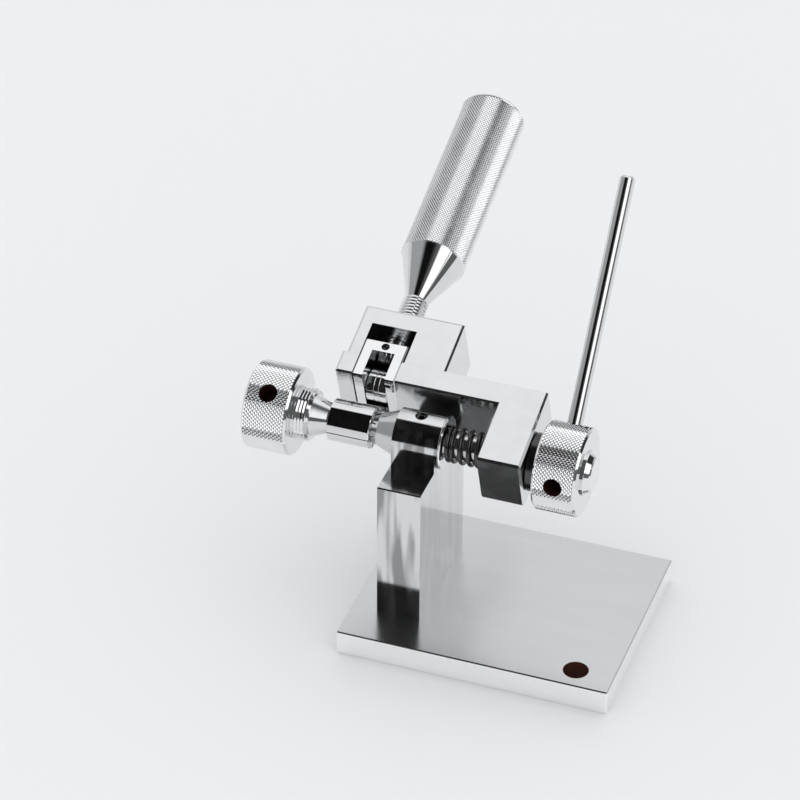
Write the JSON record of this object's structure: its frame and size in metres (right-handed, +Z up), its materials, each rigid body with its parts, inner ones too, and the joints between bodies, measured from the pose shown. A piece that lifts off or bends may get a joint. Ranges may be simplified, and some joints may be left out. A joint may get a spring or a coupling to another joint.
{
  "type": "ring stretcher",
  "caption": "Bench ring stretcher: an expanding collet on a draw spindle, with a swinging yoke whose screw handle presses a grooved roller on the ring.",
  "frame": {"origin": "middle of the base plate's underside", "axes": "+X along the spindle towards the draw knob, +Y to the back where the handle points, +Z up"},
  "size_m": [0.181, 0.2314, 0.1925],
  "materials": {
    "polished_chrome": "polished chrome plating",
    "brushed_chrome": "fine brushed bright steel",
    "knurled_chrome": "diamond knurl under satin chrome",
    "black_steel": "oiled black steel"
  },
  "bodies": {
    "base": {"base_plate": "polished_chrome", "post": "polished_chrome", "post_screws": "black_steel", "quill": "brushed_chrome", "rear_cone": "brushed_chrome", "barrel_set_screw": "black_steel", "flange_washer": "polished_chrome", "spring": "black_steel", "thrust_collar": "black_steel"},
    "swing_bush": {"yoke_bush": "brushed_chrome"},
    "yoke": {"yoke_frame": "polished_chrome", "guide_block": "polished_chrome", "block_screws": "black_steel"},
    "roller_carrier": {"carrier": "polished_chrome", "carrier_lock_screw": "black_steel", "roller_pin": "brushed_chrome"},
    "press_roller": {"roller": "polished_chrome"},
    "handle": {"handle_stud": "polished_chrome", "handle_grip": "knurled_chrome"},
    "draw_spindle": {"spindle": "brushed_chrome"},
    "expanding_cone": {"front_cone": "polished_chrome"},
    "clamp_knob": {"front_knob": "knurled_chrome"},
    "pull_knob": {"draw_knob": "knurled_chrome", "end_nut": "polished_chrome"},
    "turning_bar": {"tommy_bar": "polished_chrome"},
    "split_sleeve": {"collet_sleeve": "polished_chrome"},
    "segment_1": {"collet_segment_1": "brushed_chrome"},
    "segment_2": {"collet_segment_2": "brushed_chrome"},
    "segment_3": {"collet_segment_3": "brushed_chrome"},
    "segment_4": {"collet_segment_4": "brushed_chrome"},
    "segment_5": {"collet_segment_5": "brushed_chrome"},
    "segment_6": {"collet_segment_6": "brushed_chrome"}
  },
  "joints": [
    {"name": "yoke_shift", "type": "slide", "parent": "base", "child": "swing_bush", "axis": [-1, 0, 0], "range_m": [0, 0.004], "stiffness_N_per_m": 1500, "springref_m": -0.004, "deforming": ["spring"]},
    {"name": "yoke_swing", "type": "hinge", "parent": "swing_bush", "child": "yoke", "pos_m": [0, 0, 0.089], "axis": [1, 0, 0], "range_deg": [0, 142.5]},
    {"name": "carrier_slide", "type": "slide", "parent": "yoke", "child": "roller_carrier", "axis": [0, -0.9489, -0.3156], "range_m": [-0.0083, 0.0056]},
    {"name": "roller_spin", "type": "hinge", "parent": "roller_carrier", "child": "press_roller", "pos_m": [-0.0673, 0.02135, 0.0961], "axis": [1, 0, 0], "continuous": true},
    {"name": "handle_turn", "type": "hinge", "parent": "roller_carrier", "child": "handle", "pos_m": [-0.0673, 0.05693, 0.10794], "axis": [0, -0.9489, -0.3156], "range_deg": [-1690, 1130]},
    {"name": "draw_knob_turn", "type": "hinge", "parent": "base", "child": "pull_knob", "pos_m": [0.0254, 0, 0.089], "axis": [1, 0, 0], "range_deg": [-88, 163]},
    {"name": "tommy_slide", "type": "slide", "parent": "pull_knob", "child": "turning_bar", "axis": [0, 0.6184, 0.7859], "range_m": [0, 0.013]},
    {"name": "spindle_draw", "type": "slide", "parent": "base", "child": "draw_spindle", "axis": [1, 0, 0], "range_m": [-0.00136, 0.00073]},
    {"name": "front_cone_slide", "type": "slide", "parent": "draw_spindle", "child": "expanding_cone", "axis": [-1, 0, 0], "range_m": [0, 0.0046]},
    {"name": "front_knob_turn", "type": "hinge", "parent": "expanding_cone", "child": "clamp_knob", "pos_m": [-0.10807, 0, 0.089], "axis": [-1, 0, 0], "range_deg": [0, 1080]},
    {"name": "sleeve_slide", "type": "slide", "parent": "base", "child": "split_sleeve", "axis": [1, 0, 0], "range_m": [-0.00068, 0.00037], "deforming": ["collet_sleeve"]},
    {"name": "segment_1_slide", "type": "slide", "parent": "base", "child": "segment_1", "axis": [0.9336, -0.2936, -0.2056], "range_m": [-0.00073, 0.0004]},
    {"name": "segment_2_slide", "type": "slide", "parent": "base", "child": "segment_2", "axis": [0.9336, 0.0312, -0.357], "range_m": [-0.00073, 0.0004]},
    {"name": "segment_3_slide", "type": "slide", "parent": "base", "child": "segment_3", "axis": [0.9336, 0.3248, -0.1515], "range_m": [-0.00073, 0.0004]},
    {"name": "segment_4_slide", "type": "slide", "parent": "base", "child": "segment_4", "axis": [0.9336, 0.2936, 0.2056], "range_m": [-0.00073, 0.0004]},
    {"name": "segment_5_slide", "type": "slide", "parent": "base", "child": "segment_5", "axis": [0.9336, -0.0312, 0.357], "range_m": [-0.00073, 0.0004]},
    {"name": "segment_6_slide", "type": "slide", "parent": "base", "child": "segment_6", "axis": [0.9336, -0.3248, 0.1515], "range_m": [-0.00073, 0.0004]}
  ],
  "couplings": [
    {"joint": "carrier_slide", "follows": "handle_turn", "m_per_rad": 0.00027852},
    {"joint": "spindle_draw", "follows": "draw_knob_turn", "m_per_rad": -0.00047746},
    {"joint": "front_cone_slide", "follows": "front_knob_turn", "m_per_rad": 0.00023873},
    {"joint": "sleeve_slide", "follows": "draw_knob_turn", "m_per_rad": -0.00023873},
    {"joint": "segment_1_slide", "follows": "draw_knob_turn", "m_per_rad": -0.00025572},
    {"joint": "segment_2_slide", "follows": "draw_knob_turn", "m_per_rad": -0.00025572},
    {"joint": "segment_3_slide", "follows": "draw_knob_turn", "m_per_rad": -0.00025572},
    {"joint": "segment_4_slide", "follows": "draw_knob_turn", "m_per_rad": -0.00025572},
    {"joint": "segment_5_slide", "follows": "draw_knob_turn", "m_per_rad": -0.00025572},
    {"joint": "segment_6_slide", "follows": "draw_knob_turn", "m_per_rad": -0.00025572}
  ]
}
